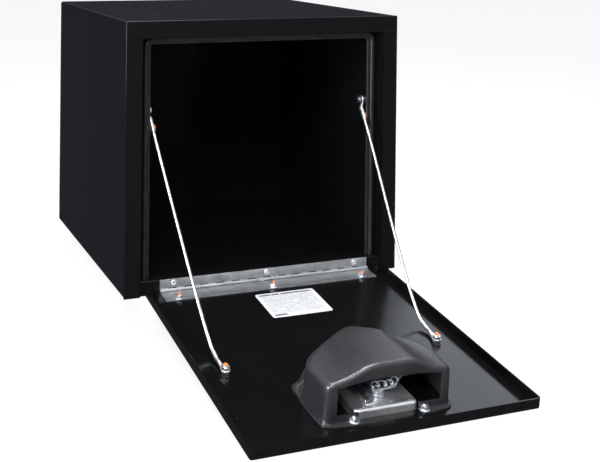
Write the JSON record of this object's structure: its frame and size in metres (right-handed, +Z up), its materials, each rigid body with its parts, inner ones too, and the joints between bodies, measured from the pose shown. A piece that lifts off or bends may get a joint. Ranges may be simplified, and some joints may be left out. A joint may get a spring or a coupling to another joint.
{
  "type": "truck tool box",
  "caption": "Underbody truck tool box of welded black sheet steel with a drop-down door on a continuous hinge, cable stays, a recessed turn latch and a moulded latch guard.",
  "frame": {"origin": "centre of the flat bottom of the box", "axes": "+X to the right seen from the front, +Y from the door opening to the back panel, +Z up; door drawn open, past level"},
  "size_m": [0.4572, 0.7758, 0.4532],
  "materials": {
    "black_powder": "glossy black powder coat",
    "seal_rubber": "extruded foam rubber, satin",
    "hinge_steel": "stainless, mill finish",
    "zinc": "zinc plated",
    "stainless": "stainless, satin",
    "patch_orange": "thread lock patch",
    "cable_vinyl": "vinyl coated wire rope",
    "terminal_tin": "tinned terminal",
    "sticker_face": "printed sticker",
    "guard_plastic": "pebbled moulding",
    "spring_steel": "spring wire",
    "gasket_rubber": "closed cell foam"
  },
  "bodies": {
    "box": {"wrap": "black_powder", "back_panel": "black_powder", "post_left": "black_powder", "post_right": "black_powder", "top_rail": "black_powder", "sill": "black_powder", "stay_bracket_left": "black_powder", "stay_bracket_right": "black_powder", "door_seal": "seal_rubber", "hinge_box_leaf": "hinge_steel", "hinge_pin": "stainless", "hinge_screws": "zinc", "anchor_bolts": "zinc", "anchor_spacers": "zinc", "anchor_nuts": "zinc", "anchor_patches": "patch_orange", "stay_cable_left": "cable_vinyl", "stay_cable_right": "cable_vinyl", "stay_lugs_upper": "terminal_tin"},
    "door": {"hinge_door_leaf": "hinge_steel", "door_pan": "black_powder", "hinge_bolts": "zinc", "hinge_nuts": "zinc", "stay_studs": "zinc", "stay_nuts": "zinc", "thread_patches": "patch_orange", "stay_lugs_lower": "terminal_tin", "data_sticker": "sticker_face", "latch_dish": "stainless", "dish_gasket": "gasket_rubber", "dish_studs": "stainless", "guard_nuts": "zinc", "shaft_bushing": "stainless", "return_spring": "spring_steel", "pawl_stop": "zinc", "latch_guard": "guard_plastic"},
    "latch": {"latch_shaft": "stainless", "handle_pin": "stainless", "pawl": "zinc", "pawl_nut": "zinc", "pawl_spring": "spring_steel"},
    "handle": {"t_handle": "stainless"},
    "key": {"key_plug": "stainless"}
  },
  "joints": [
    {"name": "door_hinge", "type": "hinge", "parent": "box", "child": "door", "pos_m": [0, -0.2016, 0.0054], "axis": [-1, 0, 0], "range_deg": [0, 97.59], "deforming": ["stay_cable_left", "stay_cable_right"]},
    {"name": "latch_turn", "type": "hinge", "parent": "door", "child": "latch", "pos_m": [0, -0.51219, -0.02588], "axis": [0, 0.132, -0.9912], "range_deg": [0, 90]},
    {"name": "handle_fold", "type": "hinge", "parent": "latch", "child": "handle", "pos_m": [0, -0.51109, -0.03411], "axis": [0, -0.9912, -0.132], "range_deg": [0, 90]},
    {"name": "key_turn", "type": "hinge", "parent": "handle", "child": "key", "pos_m": [-0.03225, -0.51087, -0.03579], "axis": [0, -0.132, 0.9912], "range_deg": [0, 90]}
  ]
}
